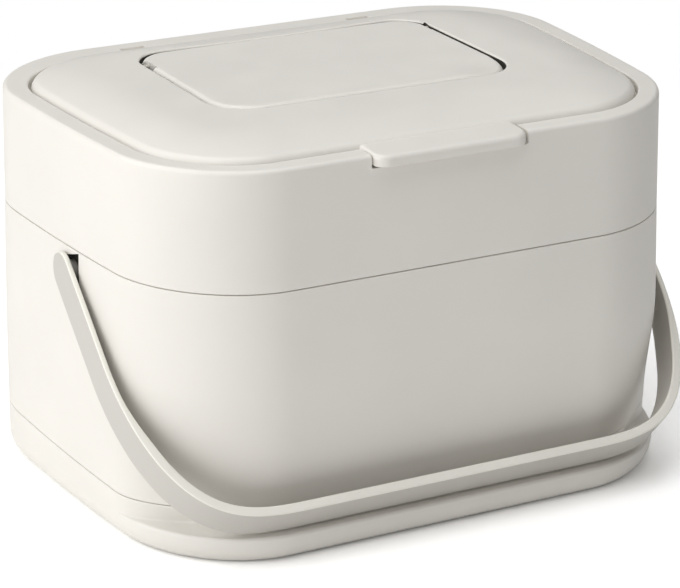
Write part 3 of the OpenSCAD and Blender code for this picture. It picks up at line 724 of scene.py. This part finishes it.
def build_cover():
    r = COVER_R
    rows = []
    ring = cover_row(-r, COVER_TOP_Z)
    mid = np.array([0.0, (COVER_Y0 + COVER_Y1) / 2, COVER_TOP_Z])
    for k in (0.1, 0.3, 0.5, 0.65, 0.78, 0.88, 0.95):
        rows.append(cover_dip(mid + (ring - mid) * k))
    for a in np.radians(np.linspace(90, 0, 9)):
        rows.append(cover_dip(cover_row(-r * (1 - math.cos(a)), COVER_TOP_Z - r * (1 - math.sin(a)))))
    rows += [cover_row(-0.3, COVER_LOW_Z), cover_row(-3, COVER_LOW_Z)]
    cover = rows_object("cover_plate", rows)
    for side in (-1, 1):
        x0, x1 = sorted((side * (COVER_W - 10), side * (COVER_W - 1)))
        boss = bar_object("boss", 2.0, x0, x1, COVER_AXIS[0], COVER_AXIS[1], 0.3)
        cut(cover, boss, "UNION")
        x0, x1 = sorted((side * (COVER_W - NOTCH_IN), side * (COVER_W + 5)))
        cut(cover, block_object("side_notch", (x0, NOTCH_Y0, 140), (x1, NOTCH_Y1, 170), 0.6))
    finish_surface(cover)
    return place(cover, "cover", "filter_cover", SHELL)


# ---- Handle -----------------------------------------------------------------------------


def strap_x(s):
    """Half width of the strap's outer face at distance s from the pivot."""
    lean = ARM_LEAN * np.clip((s - STRAP_W / 2) / (THICKEN_S - STRAP_W / 2), 0, 1)
    u = np.clip((s - (HANDLE_LEN - BEND_S)) / BEND_S, 0, 1)
    return ARM_X - lean - BEND_X * (1 - (1 - u * u) ** (1 / BEND_POWER))


def strap_path():
    """Outer face of the strap's half from the pivot end to the bar's middle, as (x, s) points."""
    end = STRAP_W / 2
    rounded = -end * np.cos(np.radians(np.linspace(4, 90, 12)))
    straight = np.linspace(0, HANDLE_LEN - BEND_S, 24)[1:]
    turn = HANDLE_LEN - BEND_S + BEND_S * np.sin(np.linspace(0, math.pi / 2, 400))
    s = np.concatenate([rounded, straight, turn[1:]])
    half = np.column_stack([strap_x(s), s])
    bar = [(x, HANDLE_LEN) for x in np.linspace(half[-1][0], 0, 26)[1:]]
    return even_steps(np.vstack([half, bar]), 150, 13)


def even_steps(path, count, kept):
    """The path with its first points kept and the rest spaced evenly."""
    rest = path[kept - 1:]
    run = np.concatenate([[0], np.cumsum(np.linalg.norm(np.diff(rest, axis=0), axis=1))])
    at = np.linspace(0, run[-1], count)
    return np.vstack([path[:kept - 1], np.column_stack([np.interp(at, run, rest[:, k]) for k in (0, 1)])])


def strap_thickness(s):
    return STRAP_T + (BAR_T - STRAP_T) * float(smooth((s - THICKEN_S) / THICKEN_RUN))


def strap_section(half, thick, r=0.75, steps=4):
    """Section of the strap: (across, into) points of a rectangle with rounded edges."""
    r = min(r, half * 0.98, thick * 0.49)
    pts = []
    corners = ((half - r, r, -90), (half - r, thick - r, 0), (r - half, thick - r, 90), (r - half, r, 180))
    for cx, cy, start in corners:
        for a in np.radians(start + np.linspace(0, 90, steps + 1)):
            pts.append((cx + r * math.cos(a), cy + r * math.sin(a)))
    return np.array(pts)


def to_handle(local):
    """From the handle's own plane (x, s along the arm, w across the strap) to its resting place."""
    c, s = math.cos(REST_ANGLE), math.sin(REST_ANGLE)
    y, z = -local[:, 1], local[:, 2]
    return np.column_stack([local[:, 0], PIVOT_Y + y * c - z * s, PIVOT_Z + y * s + z * c])


def build_handle():
    half = strap_path()
    path = np.vstack([half, (half * [-1, 1])[::-1][1:]])
    tangent = np.gradient(path, axis=0)
    tangent /= np.linalg.norm(tangent, axis=1, keepdims=True)
    rows = []
    for (x, s), (tx, ts) in zip(path, tangent):
        w = math.sqrt(max((STRAP_W / 2) ** 2 - min(s, 0) ** 2, 0.16))
        sec = strap_section(w, strap_thickness(s))
        local = np.column_stack([x - ts * sec[:, 1], s + tx * sec[:, 1], sec[:, 0]])
        rows.append(to_handle(local))
    handle = rows_object("handle_strap", rows)
    # The strap's upper edge gets the painted highlight; its other faces keep the darker strap material.
    shade_rows(handle, STRAP_PAINTED_HIGHLIGHT, len(sec), lambda row, column: 1 <= column <= 8)
    finish_surface(handle)
    return place(handle, "handle", "handle", STRAP)


# ---- Pieces inside and under ------------------------------------------------------------


def soft_edged(node, name, width, body, material):
    """A CAD node's own form with its edges rounded."""
    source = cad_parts[node]
    obj = bpy.data.objects.new(name, source.data.copy())
    bpy.context.scene.collection.objects.link(obj)
    round_edges(obj, width, 2)
    finish_surface(obj)
    return place(obj, body, node, material)


def build_small_parts():
    soft_edged("lid_liner", "liner_plate", 0.35, "lid", INNER)
    for side in ("left", "right"):
        soft_edged("lid_pin_" + side, "lid_hinge_pin_" + side, 0.15, "rim", PIN)
        soft_edged("cover_pin_" + side, "cover_hinge_pin_" + side, 0.15, "lid", PIN)
        soft_edged("pivot_pin_" + side, "handle_pivot_" + side, 0.3, "bucket", PIN)
        for end in ("front", "rear"):
            node = "foot_" + end + "_" + side
            soft_edged(node, "pad_" + end + "_" + side, 0.25, "bucket", RUBBER)


def build_filter():
    """Felt pad with soft edges and a slightly uneven face."""
    low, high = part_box("filter_pad")
    (x0, y0, z0), (x1, y1, z1) = [np.array(v) / MM for v in (low, high)]
    nx, ny = 90, 56
    fall_depth, fall_run, uneven = 1.3, 2.2, 0.18
    rng = np.random.default_rng(11)
    bumps = rng.normal(0, 1, (nx + 1, ny + 1))
    for _ in range(3):
        bumps = (bumps + np.roll(bumps, 1, 0) + np.roll(bumps, 1, 1) + np.roll(bumps, -1, 0)) / 4
    bumps /= np.abs(bumps).max()
    pts, faces = [], []
    for face, z in ((0, z1), (1, z0)):
        for i in range(nx + 1):
            for j in range(ny + 1):
                x, y = x0 + (x1 - x0) * i / nx, y0 + (y1 - y0) * j / ny
                edge = min(x - x0, x1 - x, y - y0, y1 - y)
                fall = fall_depth * (1 - min(edge / fall_run, 1)) ** 2
                off = fall + uneven * (1 + bumps[i, j])
                pts.append((x, y, z - off if face == 0 else z + fall))
    n = (nx + 1) * (ny + 1)

    def at(face, i, j):
        return face * n + i * (ny + 1) + j
    for i in range(nx):
        for j in range(ny):
            faces.append((at(0, i, j), at(0, i + 1, j), at(0, i + 1, j + 1), at(0, i, j + 1)))
            faces.append((at(1, i, j), at(1, i, j + 1), at(1, i + 1, j + 1), at(1, i + 1, j)))
    for i in range(nx):
        faces.append((at(0, i, 0), at(1, i, 0), at(1, i + 1, 0), at(0, i + 1, 0)))
        faces.append((at(0, i, ny), at(0, i + 1, ny), at(1, i + 1, ny), at(1, i, ny)))
    for j in range(ny):
        faces.append((at(0, 0, j), at(0, 0, j + 1), at(1, 0, j + 1), at(1, 0, j)))
        faces.append((at(0, nx, j), at(1, nx, j), at(1, nx, j + 1), at(0, nx, j + 1)))
    pad = mesh_object("felt_pad", pts, faces)
    finish_surface(pad, 60)
    return place(pad, "lid", "filter_pad", FELT)


# ---- Stage, lights and camera -----------------------------------------------------------

# Brightness of the world around the object, then the lamps: name, place, target, width, height, strength.
WORLD_LEVEL = 0.17
LAMPS = (
    ("window_left", (-1.3, -0.1, 0.45), (0, 0, 0.08), 2.0, 1.5, 1.95),
    ("overhead", (-0.1, 0.0, 1.5), (0, 0, 0.1), 1.6, 1.6, 1.90),
    ("front_fill", (0.2, -1.5, 0.80), (0, 0, 0.05), 1.6, 1.4, 0.24),
)
CAMERA_AZ, CAMERA_EL = math.radians(-27.423), math.radians(20.353)
CAMERA_AT = (-0.50784, -0.98104, 0.47504)
CAMERA_LENS = 154.29
# The floor is brighter for camera rays than for others, and fades to white between these distances.
FLOOR_SEEN, FLOOR_LIT = (1.5, 1.5, 1.5, 1), (0.97, 0.965, 0.955, 1)
FADE_FROM, FADE_TO = 0.30, 0.60


def build_floor():
    mesh = bpy.data.meshes.new("floor")
    s = 4.0
    mesh.from_pydata([(-s, -s, 0), (s, -s, 0), (s, s, 0), (-s, s, 0)], [], [(0, 1, 2, 3)])
    floor = bpy.data.objects.new("floor", mesh)
    bpy.context.scene.collection.objects.link(floor)
    mat = bpy.data.materials.new("floor_white")
    mat.use_nodes = True
    tree = mat.node_tree
    tree.nodes.clear()
    path = add_node(tree, "ShaderNodeLightPath")
    seen = add_node(tree, "ShaderNodeBsdfDiffuse", Color=FLOOR_SEEN)
    lit = add_node(tree, "ShaderNodeBsdfDiffuse", Color=FLOOR_LIT)
    white = add_node(tree, "ShaderNodeEmission", Color=(1, 1, 1, 1), Strength=1.0)
    centre = add_node(tree, "ShaderNodeTexCoord").outputs["Object"]
    away = add_node(tree, "ShaderNodeVectorMath", Vector=centre)
    away.operation = "LENGTH"
    distance = away.outputs["Value"]
    fade = add_node(tree, "ShaderNodeMapRange", Value=distance, From_Min=FADE_FROM, From_Max=FADE_TO)
    backdrop = tree.nodes.new("ShaderNodeMixShader")
    tree.links.new(fade.outputs[0], backdrop.inputs[0])
    tree.links.new(seen.outputs[0], backdrop.inputs[1])
    tree.links.new(white.outputs[0], backdrop.inputs[2])
    mix = tree.nodes.new("ShaderNodeMixShader")
    tree.links.new(path.outputs["Is Camera Ray"], mix.inputs[0])
    tree.links.new(lit.outputs[0], mix.inputs[1])
    tree.links.new(backdrop.outputs[0], mix.inputs[2])
    out = tree.nodes.new("ShaderNodeOutputMaterial")
    tree.links.new(mix.outputs[0], out.inputs["Surface"])
    mesh.materials.append(mat)


def build_world(level):
    world = bpy.data.worlds.new("studio")
    bpy.context.scene.world = world
    world.use_nodes = True
    tree = world.node_tree
    tree.nodes.clear()
    path = add_node(tree, "ShaderNodeLightPath")
    either = tree.nodes.new("ShaderNodeMath")
    either.operation = "MAXIMUM"
    tree.links.new(path.outputs["Is Camera Ray"], either.inputs[0])
    tree.links.new(path.outputs["Is Transmission Ray"], either.inputs[1])
    dim = add_node(tree, "ShaderNodeBackground", Color=(1, 1, 1, 1), Strength=level)
    white = add_node(tree, "ShaderNodeBackground", Color=(1, 1, 1, 1), Strength=1.0)
    mix = tree.nodes.new("ShaderNodeMixShader")
    tree.links.new(either.outputs[0], mix.inputs[0])
    tree.links.new(dim.outputs[0], mix.inputs[1])
    tree.links.new(white.outputs[0], mix.inputs[2])
    out = tree.nodes.new("ShaderNodeOutputWorld")
    tree.links.new(mix.outputs[0], out.inputs["Surface"])


def softbox(name, position, target, width, height, strength):
    """Area light facing its target; strength is its brightness as a surface."""
    data = bpy.data.lights.new(name, "AREA")
    data.shape = "RECTANGLE"
    data.size, data.size_y = width, height
    data.energy = strength * math.pi * width * height
    lamp = bpy.data.objects.new(name, data)
    bpy.context.scene.collection.objects.link(lamp)
    lamp.location = position
    lamp.rotation_euler = (Vector(target) - Vector(position)).to_track_quat("-Z", "Y").to_euler()
    return lamp


def build_lights():
    build_world(WORLD_LEVEL)
    for lamp in LAMPS:
        softbox(*lamp)


def build_camera():
    az, el = CAMERA_AZ, CAMERA_EL
    right = Vector((math.cos(az), math.sin(az), 0))
    back = Vector((math.sin(az) * math.cos(el), -math.cos(az) * math.cos(el), math.sin(el)))
    up = back.cross(right)
    cam = bpy.data.objects.new("camera", bpy.data.cameras.new("camera"))
    bpy.context.scene.collection.objects.link(cam)
    turn = Matrix((right, up, back)).transposed().to_4x4()
    cam.matrix_world = Matrix.Translation(CAMERA_AT) @ turn
    cam.data.lens = CAMERA_LENS
    cam.data.sensor_width = 36.0
    cam.data.clip_end = 50
    bpy.context.scene.camera = cam


bpy.context.scene.view_settings.view_transform = "Standard"
build_camera()
build_floor()
build_lights()
build_tray()
build_bucket()
build_collar()
build_lid()
build_cover()
build_handle()
build_small_parts()
build_filter()

bpy.context.view_layer.update()
